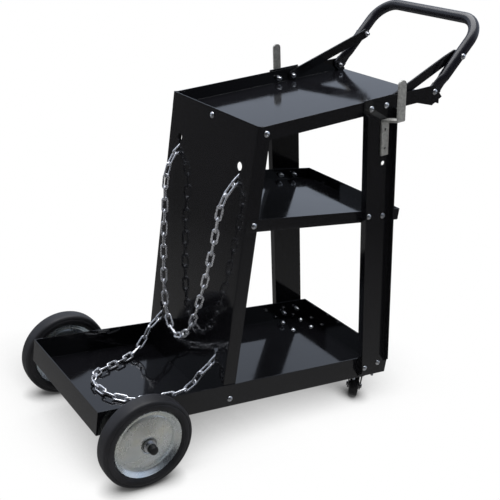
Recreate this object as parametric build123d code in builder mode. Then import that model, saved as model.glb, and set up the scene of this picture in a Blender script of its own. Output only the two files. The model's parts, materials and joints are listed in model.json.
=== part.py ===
from build123d import *
import os
from math import asin, asinh, atan2, cos, degrees, hypot, radians, sin, tan

# Three-deck gas-welding cart.  Every piece is drawn in the deck frame, in millimetres: the origin is
# the middle of the base pan's rear bottom edge, +X runs to the handle and casters, +Y to the left
# and +Z square to the deck.  `stand` then sets the cart on its wheels, nose slightly down, with the
# origin on the ground under the middle of the cart.

# ---------------------------------------------------------------- driving dimensions
SHEET = 1.5                 # sheet steel of the decks and the back panel
LEG_SHEET = 2.0             # sheet steel of the legs
GAP = 0.1                   # play left between separate sheets
WIDTH = 300.0               # decks over their side walls
BEND = 2.0                  # outside bend radius of the folded sheet

PAN_LENGTH = 690.0
PAN_WALL = 48.0

PANEL_X = 261.0             # rear face of the back panel
PANEL_TOP = 552.0
PANEL_FLANGE = 28.0
KEYHOLE_Y = 107.0
KEYHOLE_Z = (109.0, 470.0)  # round holes of the lower and upper keyholes
KEYHOLE_RADIUS = 8.0
KEYHOLE_SLOT = 5.4          # slot width, so a chain link drops in edge on
KEYHOLE_DROP = 34.0

SHELF_Z = 358.0             # underside of the middle shelf
SHELF_FRONT = 638.0
SHELF_WALL = 24.0

RAKE = 11.5                 # the top tray rises by this angle, and the legs lean by it
TRAY_Z = 522.5              # underside of the top tray at the panel
TRAY_LENGTH = 433.0
TRAY_WALL = 27.0
TRAY_BOLT_UP = 11.3         # bolts over the tray's underside

LEG_WIDTH = 73.0
LEG_DEPTH = 15.0            # flange depth over the web
LEG_TOP_X = 529.0           # leg centre line at the top bolts
LEG_FOOT_Z = 5.0
LEG_BOLT_PITCH = 37.0

TUBE = 22.0                 # handle tube
HANDLE_LENGTH = 173.0       # end bolt to cross bar, along the handle's plane
HANDLE_SLOPE = 54.5
HANDLE_BEND = 50.0
BRACE_WIDTH = 19.0
BRACE_THICK = 3.0

WHEEL_DIAMETER = 178.0
WHEEL_WIDTH = 36.0
WHEEL_X = 82.0
WHEEL_Z = -10.0
WHEEL_FACE_Y = 201.0        # outer face of the tyre
RIM_RADIUS = 67.0
AXLE_DIAMETER = 12.7
RUNNING = 0.05              # radial clearance of every running fit

CASTER_WHEEL = 50.0
CASTER_TREAD = 22.0
CASTER_HEIGHT = 79.0        # underside of the pan to the bottom of the caster wheel
CASTER_X = 645.0
CASTER_Y = 112.0
CASTER_TRAIL = 20.0
CASTER_TURN = -134.0        # how far both casters are swung at rest

BOLT = 6.0                  # M6 machine bolts throughout
BOLT_LENGTH = 16.0
BOLT_HOLE = 6.6
HEAD_DIAMETER = 12.0
HEAD_HEIGHT = 3.6
NUT_FLATS = 10.0
NUT_HEIGHT = 5.0

LINK_WIRE = 4.0
LINK_PITCH = 23.8
LINK_WIDTH = 15.0

# ---------------------------------------------------------------- worked-out places
half_width = WIDTH / 2
wheel_radius = WHEEL_DIAMETER / 2
caster_radius = CASTER_WHEEL / 2
caster_wheel_x = CASTER_X - CASTER_TRAIL * cos(radians(CASTER_TURN))
caster_wheel_z = caster_radius - CASTER_HEIGHT

# the ground touches the rear wheels and the caster wheels
base_dx = caster_wheel_x - WHEEL_X
base_dz = caster_wheel_z - WHEEL_Z
nose_down = degrees(atan2(base_dz, base_dx) + asin((wheel_radius - caster_radius) / hypot(base_dx, base_dz)))

rake_sin = sin(radians(RAKE))
rake_cos = cos(radians(RAKE))
panel_front = PANEL_X + SHEET
panel_half = half_width - SHEET - GAP
bolt_x = PANEL_X + PANEL_FLANGE - 9.5
tray_rear = panel_front + GAP


def tray_point(along, up):
    """Deck-frame x and z of a point of the top tray, from its lower rear corner."""
    return (tray_rear + along * rake_cos - up * rake_sin, TRAY_Z + along * rake_sin + up * rake_cos)


# the leg hangs square to the tray from its top bolts
top_bolt_along = (LEG_TOP_X - tray_rear) / rake_cos + TRAY_BOLT_UP * tan(radians(RAKE))
leg_head = tray_point(top_bolt_along, TRAY_BOLT_UP)


def leg_point(down, forward):
    """Deck-frame x and z of a point of a leg, from the middle of its top bolts."""
    return (
        leg_head[0] + down * rake_sin + forward * rake_cos,
        leg_head[1] - down * rake_cos + forward * rake_sin,
    )


def leg_centre_x(z):
    """x of the leg's centre line at a height."""
    return leg_head[0] + (leg_head[1] - z) * tan(radians(RAKE))


handle_end_along = 420.0    # handle end bolt, on the tray's ears
handle_end_up = 13.5
handle_end = tray_point(handle_end_along, handle_end_up)
handle_dir = (cos(radians(HANDLE_SLOPE)), sin(radians(HANDLE_SLOPE)))
handle_half = half_width - SHEET - GAP - 2.5
flat_thick = 2 * (half_width - SHEET - GAP - handle_half)
brace_along = 88.0          # brace bolt on the handle, from the end bolt

# overall length runs from the back of the rear tyres to the front of the cross bar
pitch_cos = cos(radians(nose_down))
pitch_sin = sin(radians(nose_down))
bar_x = handle_end[0] + HANDLE_LENGTH * handle_dir[0]
bar_z = handle_end[1] + HANDLE_LENGTH * handle_dir[1]
wheel_level_x = WHEEL_X * pitch_cos + WHEEL_Z * pitch_sin
wheel_level_z = WHEEL_Z * pitch_cos - WHEEL_X * pitch_sin
rear_extreme = wheel_level_x - wheel_radius
front_extreme = bar_x * pitch_cos + bar_z * pitch_sin + TUBE / 2
stand = Location((-(rear_extreme + front_extreme) / 2, 0, wheel_radius - wheel_level_z), (0, nose_down, 0))

os.makedirs("parts", exist_ok=True)


def save(piece, label):
    """Set a finished piece on the ground with the cart, label it and write its STEP file."""
    piece.part = stand * piece.part
    piece.part.label = label
    export_step(piece.part, f"parts/{label}.step")


def across(y):
    """A side-view plane at a y, with local x along the deck, local y up and its normal to the right."""
    return Plane.XZ.offset(-y)


def seat(point, y):
    """Bolt seat at a deck-frame (x, z) on a side wall, its z axis pointing outwards."""
    return Plane(origin=(point[0], y, point[1]), z_dir=(0, 1 if y > 0 else -1, 0))


SIDES = {"left": 1, "right": -1}

# bolt places, as deck-frame x and z on the side walls
pan_panel_bolt = (bolt_x, 17.0)
shelf_panel_bolt = (bolt_x, SHELF_Z + SHELF_WALL / 2)
tray_panel_bolt = (bolt_x, tray_point((bolt_x - tray_rear) / rake_cos, TRAY_BOLT_UP + 2)[1])
leg_bolts_tray = [leg_point(0, side * LEG_BOLT_PITCH / 2) for side in (-1, 1)]
shelf_mid_z = SHELF_Z + SHELF_WALL / 2
leg_bolts_shelf = [(leg_centre_x(shelf_mid_z) + side * LEG_BOLT_PITCH / 2, shelf_mid_z) for side in (-1, 1)]
pan_bolt_z = 25.0
pan_bolt_down = (leg_head[1] - pan_bolt_z) / rake_cos
leg_bolts_pan = [leg_point(pan_bolt_down, side * LEG_BOLT_PITCH / 2) for side in (-1, 1)]
panel_centre_bolt_z = TRAY_Z + 15.5
caster_bolt_spread = (54.0, 42.0)


def wall_holes(points):
    """Clear the bolt holes of both side walls of a deck, or of a leg or flange next to them."""
    drill_y = half_width + LEG_SHEET + GAP
    with Locations(*[seat(point, side * drill_y) for point in points for side in (-1, 1)]):
        Hole(radius=BOLT_HOLE / 2, depth=4 * LEG_SHEET)


def flange_slots(low, high):
    """Open a deck's rear corners for the back panel's side flanges."""
    slot_width = SHEET + 2 * GAP
    slot_y = half_width - SHEET - slot_width / 2
    with BuildSketch(Plane.XY.offset(low)) as slots:
        with Locations(*[(PANEL_X + PANEL_FLANGE / 2, side * slot_y) for side in (-1, 1)]):
            Rectangle(PANEL_FLANGE + 4 * GAP, slot_width)
    extrude(slots.sketch, amount=high - low, mode=Mode.SUBTRACT)


# ---------------------------------------------------------------- decks and back panel
def open_box(length, height, front_x, underside):
    """A folded sheet tray with its front wall at front_x and its underside at a height."""
    middle = front_x - length / 2
    with BuildSketch(Plane.XY.offset(underside)) as outside:
        with Locations((middle, 0)):
            Rectangle(length, WIDTH)
    extrude(outside.sketch, amount=height)
    with BuildSketch(Plane.XY.offset(underside + SHEET)) as inside:
        with Locations((middle, 0)):
            Rectangle(length - 2 * SHEET, WIDTH - 2 * SHEET)
    extrude(inside.sketch, amount=height, mode=Mode.SUBTRACT)
    fillet(faces().sort_by(Axis.Z)[0].outer_wire().edges(), radius=SHEET - GAP)


with BuildPart() as base_pan:
    open_box(PAN_LENGTH, PAN_WALL, PAN_LENGTH, 0)
    wall_holes([pan_panel_bolt] + leg_bolts_pan)
    with Locations(*[(CASTER_X, side * CASTER_Y, SHEET) for side in (-1, 1)]):
        with GridLocations(*caster_bolt_spread, 2, 2):
            Hole(radius=BOLT_HOLE / 2, depth=2 * SHEET)
save(base_pan, "base_pan")

with BuildPart() as middle_shelf:
    open_box(SHELF_FRONT - panel_front - GAP, SHELF_WALL, SHELF_FRONT, SHELF_Z)
    flange_slots(SHELF_Z - GAP, SHELF_Z + SHELF_WALL + GAP)
    wall_holes([shelf_panel_bolt] + leg_bolts_shelf)
save(middle_shelf, "middle_shelf")

rear_wall_front = tray_rear + SHEET
rear_wall_foot = TRAY_Z + SHEET * tan(radians(RAKE)) + SHEET / rake_cos
rear_wall_top = TRAY_Z + TRAY_WALL - 1.0
lip_drop = 12.0
with BuildPart() as top_tray:
    with BuildSketch(Plane.XZ):
        with BuildLine():
            Polyline(
                tray_point(0, 0),
                tray_point(TRAY_LENGTH - SHEET, 0),
                tray_point(TRAY_LENGTH - SHEET, -lip_drop),
                tray_point(TRAY_LENGTH, -lip_drop),
                tray_point(TRAY_LENGTH, SHEET),
                (rear_wall_front, rear_wall_foot),
                (rear_wall_front, rear_wall_top),
                (tray_rear, rear_wall_top),
                close=True,
            )
        make_face()
    extrude(amount=half_width - SHEET / 2, both=True)
    for side in (-1, 1):
        with BuildSketch(across(side * (half_width - SHEET / 2))):
            with BuildLine():
                Polyline(
                    (tray_rear, TRAY_Z),
                    tray_point(374, 0),
                    tray_point(414, -12.5),
                    tray_point(440, 0.5),
                    tray_point(419, TRAY_WALL),
                    (tray_rear, TRAY_Z + TRAY_WALL / rake_cos),
                    close=True,
                )
            make_face()
        extrude(amount=SHEET / 2, both=True)
    flange_slots(TRAY_Z - 1, TRAY_Z + 2 * TRAY_WALL)
    wall_holes([tray_panel_bolt, handle_end] + leg_bolts_tray)
    with Locations(Plane(origin=(rear_wall_front, 0, panel_centre_bolt_z), z_dir=(1, 0, 0))):
        Hole(radius=BOLT_HOLE / 2, depth=2 * SHEET)
save(top_tray, "top_tray")

panel_foot = SHEET + GAP
with BuildPart() as back_panel:
    with BuildSketch(Plane.XY.offset(panel_foot)):
        with Locations((PANEL_X + PANEL_FLANGE / 2, 0)):
            Rectangle(PANEL_FLANGE, 2 * panel_half)
        with Locations((PANEL_X + SHEET + PANEL_FLANGE / 2, 0)):
            Rectangle(PANEL_FLANGE, 2 * (panel_half - SHEET), mode=Mode.SUBTRACT)
    extrude(amount=PANEL_TOP - panel_foot)
    fillet(edges().filter_by(Axis.Z).group_by(Axis.X)[0], radius=BEND)
    with BuildSketch(Plane.YZ.offset(PANEL_X)):
        for hole_z in KEYHOLE_Z:
            with Locations((-KEYHOLE_Y, hole_z), (KEYHOLE_Y, hole_z)):
                Circle(KEYHOLE_RADIUS)
            with Locations((-KEYHOLE_Y, hole_z - KEYHOLE_DROP / 2), (KEYHOLE_Y, hole_z - KEYHOLE_DROP / 2)):
                Rectangle(KEYHOLE_SLOT, KEYHOLE_DROP)
            with Locations((-KEYHOLE_Y, hole_z - KEYHOLE_DROP), (KEYHOLE_Y, hole_z - KEYHOLE_DROP)):
                Circle(KEYHOLE_SLOT / 2)
        with Locations((0, panel_centre_bolt_z)):
            Circle(BOLT_HOLE / 2)
    extrude(amount=SHEET, mode=Mode.SUBTRACT)
    wall_holes([pan_panel_bolt, shelf_panel_bolt, tray_panel_bolt])
save(back_panel, "back_panel")

# ---------------------------------------------------------------- front legs
leg_over_tray = TRAY_WALL - TRAY_BOLT_UP + 3.0
flange_start = 4.0              # top of the flanges, below the top bolts
FLANGE_CUT = 12.0               # the flanges' feet rise this much towards their free edges
foot_chamfer = (10.0, 24.0)     # back from the front edge, up from the foot
hook_forward = 14.5             # hook and accessory hole, ahead of the leg's centre line
hook_top = 25.0                 # hook bend, below the top bolts
hook_screws_down = (45.0, 82.0)
accessory_hole_down = 114.0
ACCESSORY_HOLE = 9.0
HOOK_SCREW = 5.0
half_leg = LEG_WIDTH / 2


def leg_at(z, forward):
    """The point of a leg at a height, on a line ahead of its centre line."""
    return leg_point((leg_head[1] + forward * rake_sin - z) / rake_cos, forward)


for name, side in SIDES.items():
    web_y = side * (half_width + GAP)
    with BuildPart() as front_leg:
        with BuildSketch(across(web_y + side * LEG_SHEET / 2)):
            with BuildLine():
                Polyline(
                    leg_point(-leg_over_tray, -half_leg),
                    leg_point(-leg_over_tray, half_leg),
                    leg_at(LEG_FOOT_Z + foot_chamfer[1], half_leg),
                    leg_at(LEG_FOOT_Z, half_leg - foot_chamfer[0]),
                    leg_at(LEG_FOOT_Z, -half_leg),
                    close=True,
                )
            make_face()
        extrude(amount=LEG_SHEET / 2, both=True)
        for edge, foot_z in ((-1, LEG_FOOT_Z), (1, LEG_FOOT_Z + foot_chamfer[1])):
            flange_foot = (leg_head[1] + edge * half_leg * rake_sin - foot_z) / rake_cos
            root = leg_point(0, edge * half_leg)
            flange_plane = Plane(
                origin=(root[0], web_y, root[1]),
                x_dir=(0, side, 0),
                z_dir=(side * rake_cos, 0, side * rake_sin),
            )
            with BuildSketch(flange_plane) as flange:
                with BuildLine():
                    Polyline(
                        (0, -flange_start),
                        (LEG_DEPTH, -flange_start - 4),
                        (LEG_DEPTH, FLANGE_CUT - flange_foot),
                        (0, -flange_foot),
                        close=True,
                    )
                make_face()
            extrude(flange.sketch, amount=-edge * side * LEG_SHEET)
        wall_holes(leg_bolts_tray + leg_bolts_shelf + leg_bolts_pan)
        outer_y = web_y + side * LEG_SHEET
        with Locations(seat(leg_point(accessory_hole_down, hook_forward), outer_y)):
            Hole(radius=ACCESSORY_HOLE / 2, depth=2 * LEG_SHEET)
        with Locations(*[seat(leg_point(down, hook_forward), outer_y) for down in hook_screws_down]):
            Hole(radius=HOOK_SCREW / 2 + RUNNING, depth=2 * LEG_SHEET)
    save(front_leg, f"front_leg_{name}")

# ---------------------------------------------------------------- cable hooks
HOOK_WIDTH = 17.5
HOOK_THICK = 4.0
HOOK_REACH = 47.0
HOOK_PLATE = 72.0
HOOK_RISE = 83.0
HOOK_TILT = 8.0             # the arm rises this much to the upright
for name, side in SIDES.items():
    outer_y = side * (half_width + GAP + LEG_SHEET + GAP)
    root = leg_point(hook_top, hook_forward)
    hook_plane = Plane(
        origin=(root[0], outer_y, root[1]),
        x_dir=(0, side, 0),
        z_dir=(side * rake_cos, 0, side * rake_sin),
    )
    with BuildPart() as cable_hook:
        with BuildSketch(hook_plane):
            with BuildLine():
                Polyline(
                    (0, -HOOK_PLATE),
                    (HOOK_THICK, -HOOK_PLATE),
                    (HOOK_THICK, -HOOK_THICK),
                    (HOOK_REACH, HOOK_TILT - HOOK_THICK),
                    (HOOK_REACH, HOOK_RISE),
                    (HOOK_REACH - HOOK_THICK, HOOK_RISE),
                    (HOOK_REACH - HOOK_THICK, HOOK_TILT),
                    (0, 0),
                    close=True,
                )
            make_face()
            columns = vertices().group_by(Axis.X)
            outer_corners = [columns[0].sort_by(Axis.Y)[-1], columns[-1].sort_by(Axis.Y)[0]]
            inner_corners = [columns[1].sort_by(Axis.Y)[-1], columns[-2].sort_by(Axis.Y)[0]]
            fillet(outer_corners, radius=HOOK_THICK + 1)
            fillet(inner_corners, radius=1)
        extrude(amount=HOOK_WIDTH / 2, both=True)
        fillet(edges().filter_by(Axis.Y).sort_by(Axis.Z)[-2:], radius=HOOK_WIDTH / 2 - 0.5)
        hook_face_y = outer_y + side * HOOK_THICK
        with Locations(*[seat(leg_point(down, hook_forward), hook_face_y) for down in hook_screws_down]):
            Hole(radius=HOOK_SCREW / 2 + RUNNING, depth=2 * HOOK_THICK)
    save(cable_hook, f"cable_hook_{name}")

# ---------------------------------------------------------------- handle
FLAT_WIDTH = 27.0               # the tube's ends, pressed flat
FLAT_END = 12.0                 # end bolt to the end of the flat
ROUND_START = 36.0              # end bolt to where the tube is round again
FLAT_HEEL = 10.0                # the flat behind the end bolt
FLOOR_CLEAR = 2.0               # the flat is trimmed just above the tray's floor
slope_over_tray = radians(HANDLE_SLOPE - RAKE)


def handle_point(along, over):
    """Deck-frame x and z of a point of the handle, from the end bolt, `over` being to its upper side."""
    return (
        handle_end[0] + along * handle_dir[0] - over * handle_dir[1],
        handle_end[1] + along * handle_dir[1] + over * handle_dir[0],
    )


def handle_at(along, y):
    """The 3-D point of the handle's centre line at a distance from the end bolt."""
    x, z = handle_point(along, 0)
    return (x, y, z)


def flat_cut(over):
    """How far along the handle the trim above the tray's floor lies, at `over` from its centre."""
    return (FLOOR_CLEAR - handle_end_up - over * cos(slope_over_tray)) / sin(slope_over_tray)


handle_axis = (handle_dir[0], 0, handle_dir[1])
half_flat = FLAT_WIDTH / 2
with BuildPart() as handle_tube:
    with BuildLine() as run:
        FilletPolyline(
            handle_at(ROUND_START, -handle_half),
            handle_at(HANDLE_LENGTH, -handle_half),
            handle_at(HANDLE_LENGTH, handle_half),
            handle_at(ROUND_START, handle_half),
            radius=HANDLE_BEND,
        )
    with BuildSketch(Plane(origin=handle_at(ROUND_START, -handle_half), z_dir=handle_axis)):
        Circle(TUBE / 2)
    sweep(path=run.wires()[0])
    for side in (-1, 1):
        y = side * handle_half
        with BuildSketch(Plane(origin=handle_at(FLAT_END, y), x_dir=(0, 1, 0), z_dir=handle_axis)):
            RectangleRounded(flat_thick, FLAT_WIDTH, flat_thick / 2 - 0.2)
        with BuildSketch(Plane(origin=handle_at(ROUND_START, y), x_dir=(0, 1, 0), z_dir=handle_axis)):
            Circle(TUBE / 2)
        loft()
        with BuildSketch(across(y)):
            with BuildLine():
                Polyline(
                    handle_point(FLAT_END, half_flat),
                    handle_point(-FLAT_HEEL / 3, half_flat),
                    handle_point(-FLAT_HEEL, half_flat / 2),
                    handle_point(-FLAT_HEEL, (FLOOR_CLEAR - handle_end_up + FLAT_HEEL * sin(slope_over_tray))
                                 / cos(slope_over_tray)),
                    handle_point(flat_cut(-half_flat), -half_flat),
                    handle_point(FLAT_END, -half_flat),
                    close=True,
                )
            make_face()
        extrude(amount=flat_thick / 2, both=True)
        with Locations(seat(handle_end, y + side * flat_thick)):
            Hole(radius=BOLT_HOLE / 2, depth=2 * flat_thick)
        with Locations(seat(handle_point(brace_along, 0), y + side * TUBE)):
            Hole(radius=BOLT_HOLE / 2, depth=2 * TUBE)
save(handle_tube, "handle_tube")

brace_low = leg_bolts_tray[1]
brace_high = handle_point(brace_along, 0)
brace_length = hypot(brace_high[0] - brace_low[0], brace_high[1] - brace_low[1])
brace_dir = ((brace_high[0] - brace_low[0]) / brace_length, (brace_high[1] - brace_low[1]) / brace_length)
brace_low_y = half_width - SHEET - GAP - BRACE_THICK / 2
brace_high_y = handle_half - TUBE / 2 - GAP - BRACE_THICK / 2
BRACE_FLAT = (15.0, 26.0)       # bolt to bend, at the tray and at the tube
for name, side in SIDES.items():
    brace_plane = Plane(
        origin=(brace_low[0], 0, brace_low[1]),
        x_dir=(brace_dir[0], 0, brace_dir[1]),
        z_dir=(-side * brace_dir[1], 0, side * brace_dir[0]),
    )
    with BuildPart() as handle_brace:
        with BuildSketch(brace_plane):
            with BuildLine():
                FilletPolyline(
                    (-BRACE_WIDTH / 2, brace_low_y),
                    (BRACE_FLAT[0], brace_low_y),
                    (brace_length - BRACE_FLAT[1], brace_high_y),
                    (brace_length + BRACE_WIDTH / 2, brace_high_y),
                    radius=12,
                )
            trace(line_width=BRACE_THICK)
        extrude(amount=BRACE_WIDTH / 2, both=True)
        middle = ((brace_low[0] + brace_high[0]) / 2, (brace_low[1] + brace_high[1]) / 2)
        with BuildSketch(across(side * half_width)):
            with Locations(middle):
                brace_slope = degrees(atan2(brace_dir[1], brace_dir[0]))
                SlotCenterToCenter(brace_length, BRACE_WIDTH, rotation=brace_slope)
        extrude(amount=TUBE, both=True, mode=Mode.INTERSECT)
        end_planes = [seat(brace_low, side * brace_low_y), seat(brace_high, side * brace_high_y)]
        with Locations(*end_planes):
            Hole(radius=BOLT_HOLE / 2, depth=4 * BRACE_THICK)
    save(handle_brace, f"handle_brace_{name}")

# ---------------------------------------------------------------- rear wheels and axle
AXLE_OVER = 216.0               # half the axle's length
HUB_DIAMETER = 22.0
HUB_OUT = 16.0                  # half the hub's length
RIM_SHEET = 1.6
BRACKET_Y = 137.0               # inner face of the bracket's ear
BRACKET_THICK = 3.0
BRACKET_EAR = 9.8
BRACKET_LENGTH = 56.0
BRACKET_DEPTH = 40.0
WASHER_THICK = 1.5
BUSH_DIAMETER = 18.0            # loose bush between the outer washer and the cap
BUSH_LENGTH = 6.0
CAP_DIAMETER = 18.0
CAP_LENGTH = 12.5
wheel_mid = WHEEL_FACE_Y - WHEEL_WIDTH / 2
axle_radius = AXLE_DIAMETER / 2
running_radius = axle_radius + RUNNING


def spin_plane(centre, axle_dir):
    """A plane through a wheel's axis: local x along the axle, local y straight out to the rim."""
    return Plane(origin=centre, x_dir=axle_dir, z_dir=Vector(*axle_dir).cross(Vector(0, 0, 1)))


def turned(centre, axle_dir, start, end, outside, inside):
    """A tube or disc on an axle, from start to end along it."""
    with BuildSketch(Plane(origin=Vector(*centre) + Vector(*axle_dir) * start, z_dir=axle_dir)) as ring:
        Circle(outside)
        if inside:
            Circle(inside, mode=Mode.SUBTRACT)
    extrude(ring.sketch, amount=end - start)


axle_centre = (WHEEL_X, 0, WHEEL_Z)
with BuildPart() as axle:
    turned(axle_centre, (0, 1, 0), -AXLE_OVER, AXLE_OVER, axle_radius, 0)
    chamfer(edges().filter_by(GeomType.CIRCLE), length=0.8)
save(axle, "axle")

for name, side in SIDES.items():
    out = (0, side, 0)
    hub_plane = spin_plane((WHEEL_X, side * wheel_mid, WHEEL_Z), out)
    spin_axis = Axis(origin=axle_centre, direction=out)
    with BuildPart() as wheel_tyre:
        with BuildSketch(hub_plane):
            with BuildLine():
                ThreePointArc((-13, wheel_radius - 1.0), (0, wheel_radius), (13, wheel_radius - 1.0))
                Spline((13, wheel_radius - 1), (17.2, 82.5), (18, 77), (13, RIM_RADIUS + 1.3),
                       tangents=[(1, -0.25), (-0.8, -1)])
                Polyline(
                    (13, RIM_RADIUS + 1.3),
                    (10.3, RIM_RADIUS + 0.2),
                    (4.2, 60.6),
                    (-4.2, 60.6),
                    (-10.3, RIM_RADIUS + 0.2),
                    (-13, RIM_RADIUS + 1.3),
                )
                Spline((-13, RIM_RADIUS + 1.3), (-18, 77), (-17.2, 82.5), (-13, wheel_radius - 1),
                       tangents=[(-0.8, 1), (1, 0.25)])
            make_face()
        revolve(axis=spin_axis)
    save(wheel_tyre, f"wheel_tyre_{name}")
    for disc_name, face in {"outer": 1, "inner": -1}.items():
        with BuildPart() as rim:
            with BuildSketch(hub_plane):
                with BuildLine():
                    FilletPolyline(
                        (face * 13.0, RIM_RADIUS),
                        (face * 11.0, RIM_RADIUS - 1.0),
                        (face * 5.0, 59.5),
                        (face * 3.4, 55.5),
                        (face * 6.0, 52.0),
                        (face * 15.0, 17.0),
                        (face * 10.0, HUB_DIAMETER / 2 + RIM_SHEET / 2 + 0.1),
                        radius=1.2,
                    )
                trace(line_width=RIM_SHEET)
            revolve(axis=spin_axis)
        save(rim, f"wheel_rim_{disc_name}_{name}")
    with BuildPart() as wheel_hub:
        turned(hub_plane.origin, out, -HUB_OUT, HUB_OUT, HUB_DIAMETER / 2, running_radius)
        chamfer(edges().filter_by(GeomType.CIRCLE), length=0.6)
    save(wheel_hub, f"wheel_hub_{name}")
    with BuildPart() as axle_washers:
        for start in (-HUB_OUT - 0.4 - WASHER_THICK, HUB_OUT + 0.4):
            turned(hub_plane.origin, out, start, start + WASHER_THICK, HUB_DIAMETER / 2 + 1, running_radius)
        bush_start = HUB_OUT + 0.4 + WASHER_THICK + GAP
        bush_end = bush_start + BUSH_LENGTH
        turned(hub_plane.origin, out, bush_start, bush_end, BUSH_DIAMETER / 2, running_radius)
    save(axle_washers, f"axle_washers_{name}")
    spacer_end = wheel_mid - HUB_OUT - 0.4 - WASHER_THICK - GAP
    with BuildPart() as axle_spacer:
        turned(axle_centre, out, BRACKET_Y + BRACKET_THICK + GAP, spacer_end, axle_radius + 3, running_radius)
    save(axle_spacer, f"axle_spacer_{name}")
    cap_start = wheel_mid + bush_end + GAP
    with BuildPart() as axle_cap:
        turned(axle_centre, out, cap_start, cap_start + CAP_LENGTH, CAP_DIAMETER / 2, 0)
        turned_end = faces().sort_by(Axis((0, 0, 0), out))[-1]
        fillet(turned_end.edges(), radius=2.5)
        with Locations(Plane(origin=(WHEEL_X, side * cap_start, WHEEL_Z), z_dir=(0, -side, 0))):
            Hole(radius=running_radius, depth=AXLE_OVER - cap_start + GAP)
    save(axle_cap, f"axle_cap_{name}")

    leaf_bottom = -GAP - BRACKET_THICK
    with BuildPart() as axle_bracket:
        with BuildSketch(across(side * (BRACKET_Y + BRACKET_THICK / 2))):
            with Locations((WHEEL_X, WHEEL_Z)):
                Circle(BRACKET_EAR)
            with Locations((WHEEL_X, leaf_bottom + BRACKET_THICK / 2)):
                Rectangle(2 * BRACKET_EAR + 12, BRACKET_THICK)
            make_hull()
        extrude(amount=BRACKET_THICK / 2, both=True)
        with BuildSketch(Plane.XY.offset(leaf_bottom)):
            with Locations((WHEEL_X, side * (BRACKET_Y + BRACKET_THICK - BRACKET_DEPTH / 2))):
                RectangleRounded(BRACKET_LENGTH, BRACKET_DEPTH, 4)
        extrude(amount=BRACKET_THICK)
        with Locations(Plane(origin=(WHEEL_X, side * (BRACKET_Y + 2 * BRACKET_THICK), WHEEL_Z), z_dir=out)):
            Hole(radius=running_radius, depth=4 * BRACKET_THICK)
    save(axle_bracket, f"axle_bracket_{name}")

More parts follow.
